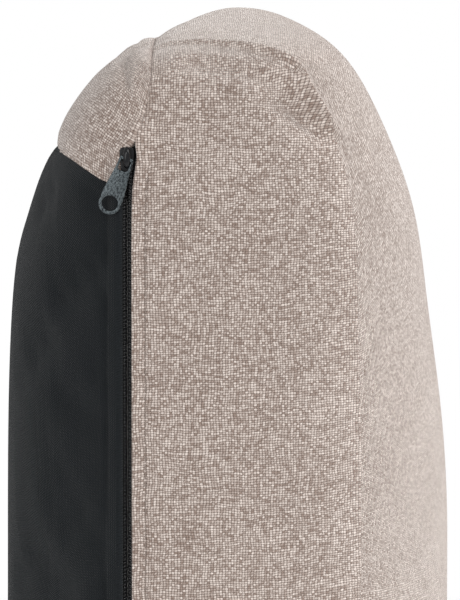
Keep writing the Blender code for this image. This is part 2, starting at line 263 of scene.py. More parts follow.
def end_rows(length, count, near=NEAR_ROWS):
    """Shares of a length with the seam rows at both ends."""
    inner = np.linspace(near[-1], length - near[-1], count)[1:-1]
    return np.concatenate((near, inner, length - near[::-1])) / length


def coons(left, right, bottom, top):
    """A grid of points between four edges that meet at their corners."""
    u = (arc_lengths(bottom) / arc_lengths(bottom)[-1])[:, None, None]
    v = (arc_lengths(left) / arc_lengths(left)[-1])[None, :, None]
    across = (1 - u) * left[None] + u * right[None]
    upward = (1 - v) * bottom[:, None] + v * top[:, None]
    corners = (1 - u) * (1 - v) * left[0] + u * (1 - v) * right[0]
    corners = corners + (1 - u) * v * left[-1] + u * v * right[-1]
    return across + upward - corners


def yoke_seam(offset):
    """The seam between yoke and black panel, climbing towards the back."""
    turns = np.linspace(0, math.pi, 900)
    directions = np.stack((-np.cos(turns), np.sin(turns), np.zeros_like(turns)), -1)
    origins = np.zeros((len(turns), 3)) + (0, -0.04, YOKE_Z)
    for _ in range(12):
        points = reach(origins, directions)
        origins[:, 2] = YOKE_Z + offset + YOKE_SLOPE * (points[:, 1] - SEAM_Y)
    points = reach(origins, directions)
    edge_y = seam_line_y(points[:, 2]) + zip_gap(points[:, 0], points[:, 2], 1)
    return points[points[:, 1] > edge_y]


def split_back_edge():
    """The back seam as four runs: left and right going up, bottom and top going right."""
    angles = np.linspace(-0.75 * math.pi, 1.25 * math.pi, 8001)
    ring = seam_ring(angles, 1)

    def corner(sign_x, sign_z):
        score = sign_x * ring[:, 0] / HALF_WIDTH + sign_z * (ring[:, 2] - MIDDLE[2]) / 0.17
        return int(np.argmax(score))

    low_left, low_right = corner(-1, -1), corner(1, -1)
    top_right, top_left = corner(1, 1), corner(-1, 1)
    turned = np.roll(ring[:-1], -low_left, axis=0)
    spots = [(spot - low_left) % 8000 for spot in (low_right, top_right, top_left)]
    bottom = turned[: spots[0] + 1]
    right = turned[spots[0]: spots[1] + 1]
    top = turned[spots[1]: spots[2] + 1][::-1]
    left = np.concatenate((turned[spots[2]:], turned[:1]))[::-1]
    return left, right, bottom, top


def back_grid(left, right, bottom, top, across, upward, near=NEAR_ROWS):
    """Points of a back piece between its four edges, laid on the form."""
    width, height = arc_lengths(bottom)[-1], arc_lengths(left)[-1]
    u, v = end_rows(width, across, near), end_rows(height, upward, near)
    flat = coons(resample(left, v), resample(right, v), resample(bottom, u), resample(top, u))
    origin = np.array((0.0, -0.05, MIDDLE[2]))
    origins = np.broadcast_to(origin, flat.shape)
    grid = reach(origins, unit(flat - origins))
    return grid


# ------------------------------------------------------------------ cloth relief

ROLL_RADIUS = 1.3 * MM
FLANGE = 2.4 * MM
CLOTH_THICKNESS = 1.0 * MM


def roll(distance, points):
    """How far the cloth turns in at a distance from its edge: a quarter round."""
    radius = ROLL_RADIUS * (1 - 0.5 * lip_share(points[..., 0], points[..., 2]))
    inner = np.clip(1 - distance / radius, 0, 1)
    return radius * (1 - np.sqrt(1 - inner ** 2))


def flange(points):
    """How far the seam allowance stands into the cushion: hardly at all beside the zip."""
    return FLANGE * (1 - 0.93 * zip_share(points[..., 0], points[..., 2]))


def line_distance(points, line):
    """Distance from points to a polyline, and how far along it the nearest place is (0 to 1)."""
    best = np.full(points.shape[:-1], 1e9)
    where = np.zeros(points.shape[:-1])
    lengths = arc_lengths(line)
    for index in range(len(line) - 1):
        start, run = line[index], line[index + 1] - line[index]
        share = np.clip(((points - start) @ run) / (run @ run), 0, 1)
        gap = np.linalg.norm(points - (start + share[..., None] * run), axis=-1)
        along = (lengths[index] + share * np.sqrt(run @ run)) / lengths[-1]
        where = np.where(gap < best, along, where)
        best = np.minimum(best, gap)
    return best, where


def smooth_line(corners):
    """A rounded polyline through a few chosen corners."""
    points = np.array(corners, float)
    for _ in range(3):
        early = points[:-1] * 0.75 + points[1:] * 0.25
        late = points[:-1] * 0.25 + points[1:] * 0.75
        middle = np.stack((early, late), 1).reshape(-1, points.shape[1])
        points = np.concatenate((points[:1], middle, points[-1:]))
    return points


def on_end(corners, side=-1):
    """A line drawn on an end face, as (y, z) places, put onto the form's surface."""
    flat = smooth_line(corners) * MM
    origins = np.stack((np.zeros(len(flat)), flat[:, 0], flat[:, 1]), -1)
    directions = np.broadcast_to(np.array((float(side), 0.0, 0.0)), origins.shape)
    return reach(origins, directions)


# The dart at the end's top corner: a fold that starts at the seam, runs forward along the
# top edge, turns the corner and fades down the front
RIDGE = ((28, 331), (22, 333), (10, 333), (0, 332), (-11, 330.5), (-19, 327.5), (-24.6, 324),
         (-26.8, 317), (-33.5, 307.5), (-39, 301), (-43, 293))
TROUGH = ((20, 326), (8, 326), (-4, 324), (-14, 320), (-20, 315), (-27, 305), (-33, 298))
CREASE = ((-9, 313), (-17, 311), (-25, 309), (-31, 303), (-36, 296))
ALLOWANCE = ((14, 324.5), (6, 323.5), (-3, 322))


def dart_relief(points, side):
    """Height added to the end's top corner by the dart's fold, its troughs and its crease."""
    relief = np.zeros(points.shape[:-1])
    near = points[..., 0] * side > 0.10
    zone = points[near]
    gap, along = line_distance(zone, on_end(RIDGE, side))
    strength = np.minimum(1, 0.35 + 1.6 * along) * (1 - ease(0.72, 1.0, along))
    height = 2.3 * MM * strength * np.exp(-(gap / (2.3 * MM)) ** 2)
    gap, along = line_distance(zone, on_end(TROUGH, side))
    ends = ease(0, 0.15, along) * (1 - ease(0.8, 1, along))
    height -= 1.9 * MM * ends * np.exp(-(gap / (4.2 * MM)) ** 2)
    gap, along = line_distance(zone, on_end(CREASE, side))
    ends = ease(0, 0.25, along) * (1 - ease(0.7, 1, along))
    height -= 2.3 * MM * ends * np.exp(-(gap / (4.0 * MM)) ** 2)
    gap, along = line_distance(zone, on_end(ALLOWANCE, side))
    ends = ease(0, 0.2, along) * (1 - ease(0.8, 1, along))
    height -= 0.8 * MM * ends * np.exp(-(gap / (1.2 * MM)) ** 2)
    relief[near] = height
    return relief


# The yoke's crease, just behind the seam above the zip
YOKE_CREASE = ((36.2, 327.5), (35.4, 322), (34.8, 316), (35.4, 311))


def yoke_relief(points):
    """A short crease in the yoke with the seam allowance standing up beside it."""
    relief = np.zeros(points.shape[:-1])
    near = (points[..., 0] < -0.14) & (points[..., 2] > 0.300)
    line = on_end(YOKE_CREASE)
    gap, along = line_distance(points[near], line)
    ends = ease(0, 0.25, along) * (1 - ease(0.7, 1, along))
    height = -1.5 * MM * ends * np.exp(-(gap / (1.9 * MM)) ** 2)
    gap, along = line_distance(points[near], line - (0, 3.6 * MM, 0))
    relief[near] = height + 0.8 * MM * ends * np.exp(-(gap / (1.8 * MM)) ** 2)
    return relief


STITCH_INSET = 4.7 * MM   # from the zip's edge to the stitch line beside it


def hem_relief(points, distance):
    """Beside the zip the cloth is doubled under and stitched: a raised lip, then a stitch line."""
    beside_zip = lip_share(points[..., 0], points[..., 2])
    over_slider = ease(SLIDER_Z - 4 * MM, SLIDER_Z - 1 * MM, points[..., 2])
    lip = (1.25 + 1.05 * over_slider) * MM * np.exp(-(distance / (3.6 * MM)) ** 2)
    groove = 0.75 * MM * np.exp(-((distance - STITCH_INSET) / (0.75 * MM)) ** 2)
    return beside_zip * (lip - groove * (1 - over_slider))


def pucker(distance, along, seed):
    """Small gathers that the stitching pulls into a seam, fading over a few centimetres."""
    rng = np.random.default_rng(seed)
    waves = np.zeros(along.shape)
    for length in (0.013, 0.019, 0.031, 0.047):
        phase = rng.uniform(0, 2 * math.pi)
        drift = rng.uniform(0.6, 1.4)
        waves += drift * np.sin(2 * math.pi * along / length + phase) * (length / 0.031) ** 0.5
    fade = np.exp(-distance / (9 * MM)) * (1 - np.exp(-distance / (2.0 * MM)))
    return 0.22 * MM * waves * fade


def seam_pull(distance):
    """The cloth lies lower towards a sewn seam, where its tension holds it in."""
    return 1.1 * MM * np.exp(-distance / (6 * MM))


# ------------------------------------------------------------------ meshes

def mesh_object(name, vertices, faces, uvs=None):
    mesh = bpy.data.meshes.new(name)
    mesh.from_pydata([tuple(vertex) for vertex in vertices], [], faces)
    mesh.validate()
    if uvs is not None:
        layer = mesh.uv_layers.new(name="UVMap")
        corners = np.zeros(len(mesh.loops), int)
        mesh.loops.foreach_get("vertex_index", corners)
        layer.data.foreach_set("uv", np.asarray(uvs, np.float32)[corners].ravel())
    mesh.shade_smooth()
    piece = bpy.data.objects.new(name, mesh)
    bpy.context.scene.collection.objects.link(piece)
    return piece


def grid_faces(columns, rows, closed, flip_faces):
    faces = []
    for column in range(columns if closed else columns - 1):
        following = (column + 1) % columns
        for row in range(rows - 1):
            a, b = column * rows + row, following * rows + row
            face = (a, b, b + 1, a + 1)
            faces.append(face[::-1] if flip_faces else face)
    return faces


def apply_modifiers(piece):
    evaluated = piece.evaluated_get(bpy.context.evaluated_depsgraph_get())
    mesh = bpy.data.meshes.new_from_object(evaluated)
    piece.modifiers.clear()
    piece.data = mesh
    return piece


def thicken(piece, thickness):
    solid = piece.modifiers.new("cloth", "SOLIDIFY")
    solid.thickness = thickness
    solid.offset = -1
    apply_modifiers(piece)
    piece.data.shade_smooth()


# Lengths along the cloth: round the cushion from the middle of the front, and up its profile
def section_depth(z):
    """How far the front's middle stands ahead of the widest line at a height."""
    level = np.clip((z - FULLEST_Z) / (HEIGHT - FULLEST_Z), 0, 0.999)
    under = np.clip((FULLEST_Z - z) / (FULLEST_Z + BASE_TRIM), 0, 0.999)
    share = np.where(
        z > FULLEST_Z, (1 - level ** FRONT_RISE) ** (1 / FRONT_RISE),
        (1 - under ** UNDERSIDE_RISE) ** (1 / UNDERSIDE_RISE),
    )
    return FRONT_DEPTH * share


round_turns = np.linspace(0, 0.72 * math.pi, 500)
round_start = np.broadcast_to(np.array((0.0, WIDEST_Y, FULLEST_Z)), (500, 3))
round_ahead = np.stack((
    np.sin(round_turns) * HALF_WIDTH, -np.cos(round_turns) * FRONT_DEPTH, 0 * round_turns), -1)
round_lengths = arc_lengths(reach(round_start, unit(round_ahead)))
rise_turns = np.linspace(0, math.pi / 2, 400)
rise_lengths = arc_lengths(np.stack((
    FRONT_DEPTH * np.cos(rise_turns) ** (2 / FRONT_RISE),
    (HEIGHT - FULLEST_Z) * np.sin(rise_turns) ** (2 / FRONT_RISE), 0 * rise_turns), -1))


def upright_lengths(points):
    """Where points of the front and ends lie on the flat cloth, round the cushion and up."""
    x, y, z = points[..., 0], points[..., 1], points[..., 2]
    turn = np.arctan2(np.abs(x) / HALF_WIDTH, (WIDEST_Y - y) / section_depth(z))
    across = np.interp(turn, round_turns, round_lengths)
    level = np.clip((z - FULLEST_Z) / (HEIGHT - FULLEST_Z), 0, 1)
    ahead = np.clip((WIDEST_Y - y) / FRONT_DEPTH, 0, 1)
    rise = np.arctan2(level ** (FRONT_RISE / 2), ahead ** (FRONT_RISE / 2) + 1e-9)
    up_front = np.where(z > FULLEST_Z, np.interp(rise, rise_turns, rise_lengths), z - FULLEST_Z)
    on_end_face = ease(0.25 * math.pi, 0.42 * math.pi, turn)
    up = up_front * (1 - on_end_face) + (z - FULLEST_Z) * on_end_face
    return np.stack((np.sign(x) * across, up), -1)


def end_lengths(points):
    """Where points of the flat ends lie on the flat cloth, carrying on from the front."""
    across = np.interp(math.pi / 2, round_turns, round_lengths) + points[..., 1] - WIDEST_Y
    return np.stack((np.sign(points[..., 0]) * across, points[..., 2] - FULLEST_Z), -1)


def level_lengths(points):
    """Where points of the top and underside lie on the flat cloth."""
    return np.stack((points[..., 0], points[..., 1] + rise_lengths[-1]), -1)


stitch_paths = {}


def keep_stitches(label, points, distance):
    """Notes the line on the cloth that lies the stitch inset from the zip's edge."""
    path = []
    for column in range(points.shape[0]):
        if points[column, 0, 0] < -0.17 and 0.046 < points[column, 0, 2] < 0.288:
            line = points[column].T
            path.append([np.interp(STITCH_INSET, distance[column], places) for places in line])
    path = np.array(sorted(path, key=lambda point: point[2]))
    stitch_paths[label] = path


def front_cover():
    columns, rows = 480, 112
    base = front_grid(columns, rows)
    normals = normals_at(base)
    distance = np.stack([arc_lengths(column) for column in base])
    along = arc_lengths(base[:, 0])[:, None] + 0 * distance
    closed = 1 - lip_share(base[..., 0], base[..., 2])
    relief = -roll(distance, base) - seam_pull(distance) * closed + pucker(distance, along, 3)
    relief += hem_relief(base, distance) + front_settling(base, distance)
    relief += dart_relief(base, -1) + dart_relief(base, 1)
    on_base = ease(6 * MM, 1 * MM, base[..., 2])
    relief = relief * (1 - on_base) - roll(distance, base) * on_base
    turned_in = relief[:, :1] - flange(base[:, :1])
    base = np.concatenate((base[:, :1], base), 1)
    normals = np.concatenate((normals[:, :1], normals), 1)
    relief = np.concatenate((turned_in, relief), 1)
    points = base + normals * relief[..., None]
    faces = grid_faces(columns, rows + 1, True, False)
    piece = mesh_object("front_cover_cloth", points.reshape(-1, 3), faces)
    keep_stitches("front", points[:, 1:], distance)
    upright, flat = upright_lengths(base).reshape(-1, 2), level_lengths(base).reshape(-1, 2)
    ends = end_lengths(base).reshape(-1, 2)
    facing_up = np.abs(normals[..., 2]).reshape(-1) > 0.66
    facing_out = np.abs(normals[..., 0]).reshape(-1) > 0.60
    corners = np.array(faces)
    chosen = np.where((facing_up[corners].sum(1) > 2)[:, None, None], flat[corners], upright[corners])
    chosen = np.where((facing_out[corners].sum(1) > 2)[:, None, None], ends[corners], chosen)
    layer = piece.data.uv_layers.new(name="UVMap")
    layer.data.foreach_set("uv", chosen.astype(np.float32).ravel())
    outward(piece)
    thicken(piece, CLOTH_THICKNESS)
    return piece


def back_piece(name, left, right, bottom, top, across, upward, seed):
    base = back_grid(left, right, bottom, top, across, upward)
    normals = normals_at(base)
    from_left = np.stack([arc_lengths(base[:, row]) for row in range(base.shape[1])], 1)
    from_right = from_left[-1:] - from_left
    from_bottom = np.stack([arc_lengths(base[column]) for column in range(base.shape[0])], 0)
    from_top = from_bottom[:, -1:] - from_bottom
    distance = np.minimum.reduce((from_left, from_right, from_bottom, from_top))
    closed = 1 - lip_share(base[..., 0], base[..., 2])
    relief = -roll(distance, base) - seam_pull(distance) * closed + hem_relief(base, from_left)
    relief += pucker(np.minimum(from_left, from_right), from_bottom, seed)
    relief += pucker(np.minimum(from_bottom, from_top), from_left, seed + 1)
    relief += panel_settling((left, right, bottom, top), relief.shape) + yoke_relief(base)
    on_base = ease(6 * MM, 1 * MM, base[..., 2])
    relief = relief * (1 - on_base) - roll(distance, base) * on_base
    pad = ((1, 1), (1, 1))
    base = np.pad(base, pad + ((0, 0),), mode="edge")
    normals = np.pad(normals, pad + ((0, 0),), mode="edge")
    relief = np.pad(relief, pad, mode="edge")
    rim = np.zeros(relief.shape, bool)
    rim[0], rim[-1], rim[:, 0], rim[:, -1] = True, True, True, True
    relief[rim] -= flange(base)[rim]
    points = base + normals * relief[..., None]
    if name == "back_panel_cloth":
        inner = points[1:-1, 1:-1]
        keep_stitches("back", inner.transpose(1, 0, 2), from_left.T)
    uvs = np.stack((from_left, from_bottom), -1)
    uvs = np.pad(uvs, pad + ((0, 0),), mode="edge")
    piece = mesh_object(
        name, points.reshape(-1, 3),
        grid_faces(points.shape[0], points.shape[1], False, False), uvs.reshape(-1, 2),
    )
    thicken(piece, CLOTH_THICKNESS)
    return piece


def back_pieces():
    left, right, bottom, top = split_back_edge()
    low_edge = yoke_seam(-SEWN_GAP)
    high_edge = yoke_seam(SEWN_GAP)
    panel = back_piece(
        "back_panel_cloth",
        np.concatenate((left[left[:, 2] < low_edge[0, 2]], low_edge[:1])),
        np.concatenate((right[right[:, 2] < low_edge[-1, 2]], low_edge[-1:])),
        bottom, low_edge, 96, 76, 11,
    )
    yoke = back_piece(
        "back_yoke_cloth",
        np.concatenate((high_edge[:1], left[left[:, 2] > high_edge[0, 2]])),
        np.concatenate((high_edge[-1:], right[right[:, 2] > high_edge[-1, 2]])),
        high_edge, top, 96, 14, 23,
    )
    return panel, yoke


# ------------------------------------------------------------------ how the cloth settles

SWELL_CAP = 5 * MM


def settle(base, normals, held, closed):
    """How cloth that is held along its seams swells and gathers when the filling presses on it.

    Returns the movement of each point of the grid along its normal.
    """
    columns, rows = base.shape[:2]
    faces = grid_faces(columns, rows, closed, False)
    first = base.reshape(-1, 3)[list(faces[columns * rows // 3])]
    facing = np.cross(first[1] - first[0], first[2] - first[0])
    if facing @ normals.reshape(-1, 3)[faces[columns * rows // 3][0]] < 0:
        faces = [face[::-1] for face in faces]
    trial = mesh_object("cloth_trial", base.reshape(-1, 3), faces)
    group = trial.vertex_groups.new(name="held")
    group.add([int(index) for index in np.nonzero(held.reshape(-1))[0]], 1.0, "REPLACE")
    cloth = trial.modifiers.new("cloth", "CLOTH")
    settings = cloth.settings
    settings.quality = 6
    settings.mass = 0.2
    settings.tension_stiffness = settings.compression_stiffness = 18
    settings.shear_stiffness = 6
    settings.bending_stiffness = 0.4
    settings.use_pressure = True
    settings.uniform_pressure_force = 4
    settings.vertex_group_mass = "held"
    settings.shrink_min = -0.012
    settings.effector_weights.gravity = 0
    cloth.collision_settings.use_collision = False
    scene = bpy.context.scene
    for number in range(1, 21):
        scene.frame_set(number)
    moved = trial.evaluated_get(bpy.context.evaluated_depsgraph_get()).to_mesh()
    places = np.zeros(len(moved.vertices) * 3)
    moved.vertices.foreach_get("co", places)
    places = places.reshape(base.shape)
    bpy.data.objects.remove(trial)
    scene.frame_set(1)
    swell = np.clip(np.sum((places - base) * normals, -1), -SWELL_CAP, SWELL_CAP)
    broad = swell.copy()
    for _ in range(60):
        if closed:
            broad = (np.roll(broad, 1, 0) + np.roll(broad, -1, 0) + 2 * broad) / 4
        else:
            edged = np.pad(broad, ((1, 1), (0, 0)), mode="edge")
            broad = (edged[2:] + edged[:-2] + 2 * broad) / 4
        edged = np.pad(broad, ((0, 0), (1, 1)), mode="edge")
        broad = (edged[:, 2:] + edged[:, :-2] + 2 * broad) / 4
    return swell - broad


def front_settling(base, distance):
    """The front cover's settling, carried over from a coarser trial grid."""
    columns, rows = 160, 34
    coarse = front_grid(columns, rows, np.array((0, 3, 7)) * MM)
    normals = normals_at(coarse)
    held = np.zeros(coarse.shape[:2], bool)
    held[:, 0] = True
    held |= coarse[..., 2] < 3 * MM
    swell = settle(coarse, normals, held, True)
    lengths = np.stack([arc_lengths(column) for column in coarse])
    lengths /= lengths[:, -1:]
    shares = distance / distance[:, -1:]
    result = np.zeros(distance.shape)
    for column in range(len(base)):
        spot = column * columns / len(base)
        low = int(spot)
        high = (low + 1) % columns
        early = np.interp(shares[column], lengths[low], swell[low])
        late = np.interp(shares[column], lengths[high], swell[high])
        result[column] = early * (1 - spot + low) + late * (spot - low)
    return result


def panel_settling(edges, shape):
    """A back piece's settling, carried over from a coarser trial grid."""
    across, upward = 40, max(8, int(34 * shape[1] / 100))
    coarse = back_grid(*edges, across, upward, np.array((0, 4, 9)) * MM)
    held = np.zeros(coarse.shape[:2], bool)
    held[0] = held[-1] = held[:, 0] = held[:, -1] = True
    swell = settle(coarse, normals_at(coarse), held, False)
    from_left, from_bottom = arc_lengths(coarse[:, 0]), arc_lengths(coarse[0])
    left, _, bottom, _ = edges
    spare = 2 * len(NEAR_ROWS) - 2
    u = end_rows(arc_lengths(bottom)[-1], shape[0] - spare)
    v = end_rows(arc_lengths(left)[-1], shape[1] - spare)
    u0, v0 = from_left / from_left[-1], from_bottom / from_bottom[-1]
    wide = np.stack([np.interp(u, u0, swell[:, row]) for row in range(swell.shape[1])], 1)
    return np.stack([np.interp(v, v0, wide[column]) for column in range(len(u))], 0)


# ------------------------------------------------------------------ liner and foam

def filling(name, depth):
    """A closed piece of the cushion's form at a depth under the cover's outer face."""
    around, along = 96, 64
    turns = np.linspace(0, 2 * math.pi, around, endpoint=False)[:, None]
    tilts = np.linspace(0, math.pi, along + 2)[None, 1:-1]
    directions = np.stack((
        np.cos(tilts) + 0 * turns, np.sin(tilts) * np.cos(turns), np.sin(tilts) * np.sin(turns),
    ), -1)
    origins = np.broadcast_to(MIDDLE, directions.shape)
    ring = reach(origins, directions, depth)
    poles = reach(np.stack((MIDDLE, MIDDLE)), np.array(((1.0, 0, 0), (-1.0, 0, 0))), depth)
    faces = grid_faces(around, along, True, False)
    count = around * along
    for column in range(around):
        following = (column + 1) % around
        faces.append((count, following * along, column * along))
        faces.append((count + 1, column * along + along - 1, following * along + along - 1))
    piece = mesh_object(name, np.concatenate((ring.reshape(-1, 3), poles)), faces)
    outward(piece)
    return piece


def outward(piece):
    """Turns all faces outwards and merges doubled points."""
    tidy = bmesh.new()
    tidy.from_mesh(piece.data)
    bmesh.ops.remove_doubles(tidy, verts=tidy.verts[:], dist=0.01 * MM)
    bmesh.ops.recalc_face_normals(tidy, faces=tidy.faces[:])
    tidy.to_mesh(piece.data)
    tidy.free()


# ------------------------------------------------------------------ zip

def zip_place(u, v, w):
    """Zip coordinates: u behind the chain's middle line, v up, w out from the end face."""
    return np.stack(np.broadcast_arrays(-HALF_WIDTH - w, SEAM_Y + u, v), -1)


def zip_frame():
    """The matrix from zip coordinates to the frame's."""
    return Matrix(((0, 0, -1, -HALF_WIDTH), (1, 0, 0, SEAM_Y), (0, 1, 0, 0), (0, 0, 0, 1)))


def flat_plate(name, outlines, low, high, bevel, place):
    """A plate with rounded edges from outlines in its own plane; place moves it into the frame."""
    curve = bpy.data.curves.new(name, "CURVE")
    curve.dimensions = "2D"
    curve.fill_mode = "BOTH"
    curve.extrude = (high - low) / 2 - bevel
    curve.bevel_depth = bevel
    curve.bevel_resolution = 3
    curve.offset = -bevel
    for outline in outlines:
        spline = curve.splines.new("POLY")
        spline.points.add(len(outline) - 1)
        for point, (a, b) in zip(spline.points, outline):
            point.co = (a, b, 0, 1)
        spline.use_cyclic_u = True
    maker = bpy.data.objects.new(name, curve)
    bpy.context.scene.collection.objects.link(maker)
    mesh = bpy.data.meshes.new_from_object(maker.evaluated_get(bpy.context.evaluated_depsgraph_get()))
    bpy.data.objects.remove(maker)
    mesh.transform(place @ Matrix.Translation((0, 0, (high + low) / 2)))
    piece = bpy.data.objects.new(name, mesh)
    bpy.context.scene.collection.objects.link(piece)
    outward(piece)
    mesh.shade_smooth()
    return piece


def rounded(points, rounds=3):
    """A closed outline with its corners cut smooth."""
    points = np.array(points, float)
    for _ in range(rounds):
        following = np.roll(points, -1, axis=0)
        points = np.stack((points * 0.75 + following * 0.25, points * 0.25 + following * 0.75), 1)
        points = points.reshape(-1, 2)
    return points


def oval(half_wide, half_tall, middle, count):
    """A closed oval outline round (0, middle)."""
    turns = np.linspace(0, 2 * math.pi, count, endpoint=False)
    return [(half_wide * math.cos(t), middle + half_tall * math.sin(t)) for t in turns]


def join(name, pieces):
    """One object from several, kept as separate shells."""
    with bpy.context.temp_override(active_object=pieces[0], selected_editable_objects=pieces):
        bpy.ops.object.join()
    pieces[0].name = name
    return pieces[0]


def ring_faces(count, sides, first=0):
    """Faces of a closed tube whose points come ring by ring, with its two ends."""
    faces = []
    for index in range(count - 1):
        a, b = first + index * sides, first + (index + 1) * sides
        for turn in range(sides):
            after = (turn + 1) % sides
            faces.append((a + turn, a + after, b + after, b + turn))
    faces.append(tuple(first + turn for turn in range(sides))[::-1])
    faces.append(tuple(first + (count - 1) * sides + turn for turn in range(sides)))
    return faces


def tube(name, line, radii, sides):
    """A closed tube along a line; radii are one number or one for each point."""
    line = np.asarray(line, float)
    ahead = unit(np.gradient(line, axis=0))
    side = np.cross(ahead, (0.0, 0.0, 1.0))
    plain = np.linalg.norm(side, axis=-1) < 0.05
    side[plain] = (0.0, 1.0, 0.0)
    side = unit(side - ahead * np.sum(side * ahead, -1, keepdims=True))
    other = np.cross(ahead, side)
    turns = np.linspace(0, 2 * math.pi, sides, endpoint=False)
    radii = np.broadcast_to(radii, (len(line),))[:, None, None]
    rings = line[:, None] + radii * (
        side[:, None] * np.cos(turns)[None, :, None] + other[:, None] * np.sin(turns)[None, :, None]
    )
    piece = mesh_object(name, rings.reshape(-1, 3), ring_faces(len(line), sides))
    outward(piece)
    return piece


COIL_PITCH = 1.25 * MM
COIL_MIDDLE, COIL_REACH, COIL_WIRE = 1.10 * MM, 0.70 * MM, 0.27 * MM


def coil(name, side, low, high):
    """One half of the chain: a nylon filament wound in flattened loops."""
    steps = 14
    loops = int((high - low) / COIL_PITCH)
    turn = np.arange(loops * steps + 1) / steps
    angle = 2 * math.pi * turn
    reach_out = COIL_MIDDLE + COIL_REACH * np.cos(angle) * (1 + 0.1 * np.cos(angle))
    w = -0.67 * MM + 0.30 * MM * np.sin(angle) - 0.06 * (reach_out - COIL_MIDDLE)
    v = low + COIL_PITCH * (turn + (0.5 if side > 0 else 0.0) * 0.9)
    v = v + 0.12 * COIL_PITCH * np.cos(angle)
    return tube(name, zip_place(side * reach_out, v, w), COIL_WIRE, 7)


def tape(name, side, low, high):
    """One tape of the zip: a woven strip with a bead along its inner edge, under the coil."""
    lengths = np.linspace(low, high, 180)
    section = []
    for u in (0.17, 0.4, 0.9, 1.6, 2.3, 3.2, 4.8, 6.4, 8.0, 9.2, 9.5):
        section.append((u, -1.52 - (0.10 if u in (0.17, 9.5) else 0.0)))
    under = [(u, -2.0 + (0.10 if u in (0.17, 9.5) else 0.0)) for u, _ in section[::-1]]
    loop = np.array(section + under) * MM
    sides = len(loop)
    rng = np.random.default_rng(5 + side)
    wander = 0.12 * MM * np.sin(lengths * 2 * math.pi / 0.037 + rng.uniform(0, 6))
    u = side * loop[None, :, 0] + (loop[None, :, 0] > 9 * MM) * wander[:, None]
    w = loop[None, :, 1] + 0 * lengths[:, None]
    points = zip_place(u, lengths[:, None], w)
    inner = points * (0.0, 1.0, 1.0)
    leftward = np.broadcast_to(np.array((-1.0, 0.0, 0.0)), points.shape)
    near_top = ease(ZIP_TOP - 9 * MM, ZIP_TOP - 2 * MM, lengths)[:, None]
    beside_slider = ease(2.8 * MM, 4.8 * MM, loop[None, :, 0])
    tucked = np.maximum(near_top, beside_slider)
    beneath = reach(inner, leftward, 2.6 * MM)[..., 0] - (w + 1.5 * MM)
    points[..., 0] += tucked * np.maximum(beneath - points[..., 0], 0.0)
    faces = ring_faces(len(lengths), sides)
    uvs = np.stack(np.broadcast_arrays(u, lengths[:, None]), -1)
    piece = mesh_object(name, points.reshape(-1, 3), faces, uvs.reshape(-1, 2))
    outward(piece)
    return piece


def chain_stitches(name, side, low, high):
    """The thread that holds the coil to its tape, one short stitch to each loop."""
    count = int((high - low) / COIL_PITCH)
    parts = []
    for number in range(count):
        v = low + COIL_PITCH * (number + 0.5)
        bow = np.linspace(-0.5, 0.5, 5)
        u = side * (1.62 * MM + 0 * bow)
        w = -0.22 * MM - 0.5 * MM * bow ** 2
        parts.append(zip_place(u, v + bow * 1.0 * MM, w))
    return merged_tubes(name, parts, 0.11 * MM, 5)


def merged_tubes(name, lines, radius, sides):
    """Many short closed tubes in one object."""
    vertices, faces = [], []
    turns = np.linspace(0, 2 * math.pi, sides, endpoint=False)
    for line in lines:
        line = np.asarray(line, float)
        ahead = unit(np.gradient(line, axis=0))
        side = np.cross(ahead, (0.31, 0.22, 0.05))
        side = unit(side)
        other = np.cross(ahead, side)
        taper = np.ones(len(line))
        taper[0] = taper[-1] = 0.55
        rings = line[:, None] + radius * taper[:, None, None] * (
            side[:, None] * np.cos(turns)[None, :, None] + other[:, None] * np.sin(turns)[None, :, None]
        )
        first = len(vertices)
        vertices.extend(rings.reshape(-1, 3))
        faces.extend(ring_faces(len(line), sides, first))
    piece = mesh_object(name, np.array(vertices), faces)
    outward(piece)
    return piece


def stop_piece(name, side, low, high):
    """A small clip closed over the end of a coil."""
    middle_u = side * 1.15 * MM if side else 0.0
    half_u = 1.05 * MM if side else 2.2 * MM
    middle_v, half_v = (low + high) / 2, (high - low) / 2
    corners = [(middle_u + half_u * a, middle_v + half_v * b) for a, b in (
        (-1, -0.8), (-0.8, -1), (0.8, -1), (1, -0.8), (1, 0.8), (0.8, 1), (-0.8, 1), (-1, 0.8))]
    return flat_plate(name, [rounded(corners, 1)], -1.75 * MM, -0.95 * MM, 0.15 * MM, zip_frame())


def slider_outline():
    """A slider plate, wider where the open halves enter at its top."""
    half, tail, length = 2.5 * MM, 2.1 * MM, 4.3 * MM
    shape = [(-tail, -length), (tail, -length), (tail, -1.2 * MM), (half, 1.0 * MM),
             (half, length * 0.86), (half * 0.55, length), (-half * 0.55, length),
             (-half, length * 0.86), (-half, 1.0 * MM), (-tail, -1.2 * MM)]
    outline = rounded(shape, 3)
    return [(a, b + SLIDER_Z) for a, b in outline]


def slider():
    """Two plates joined by a wedge, with a domed crown that the pull tab's bar runs under."""
    place = zip_frame()
    outer = flat_plate("slider_outer", [slider_outline()], 0.3 * MM, 1.2 * MM, 0.28 * MM, place)
    inner = flat_plate("slider_inner", [slider_outline()], -3.2 * MM, -2.3 * MM, 0.28 * MM, place)
    post = oval(0.16 * MM, 1.4 * MM, SLIDER_Z + 2.2 * MM, 24)
    wedge = flat_plate("slider_wedge", [post], -2.4 * MM, 0.4 * MM, 0.05 * MM, place)
    crown = crown_piece()
    return join("zip_slider", [outer, inner, wedge, crown])


